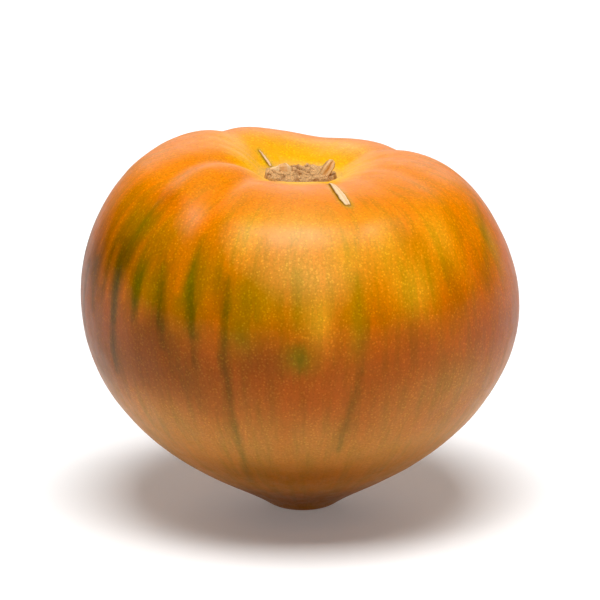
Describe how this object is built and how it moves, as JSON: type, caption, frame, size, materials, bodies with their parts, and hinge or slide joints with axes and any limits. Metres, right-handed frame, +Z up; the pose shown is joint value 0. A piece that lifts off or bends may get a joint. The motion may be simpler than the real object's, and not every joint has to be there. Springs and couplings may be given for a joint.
{
  "type": "tomato",
  "caption": "Large heart-shaped ribbed tomato with a pointed tip, a sunken corky stem scar and dry sepal remnants.",
  "frame": {"origin": "on the resting plane, under the middle of the fruit's bounding box", "axes": "+Z up through the stem scar, +X towards the broad right shoulder, -Y towards the front lobe"},
  "size_m": [0.0948, 0.089, 0.0805],
  "materials": {
    "skin": "satin",
    "cork": "matte",
    "dry_sepal": "matte"
  },
  "bodies": {
    "root": {"fruit": "skin", "stem_scar": "cork", "sepal_stub_right": "dry_sepal", "sepal_stub_left": "dry_sepal", "sepal_sliver_left": "dry_sepal", "sepal_sliver_front": "dry_sepal"}
  },
  "joints": []
}
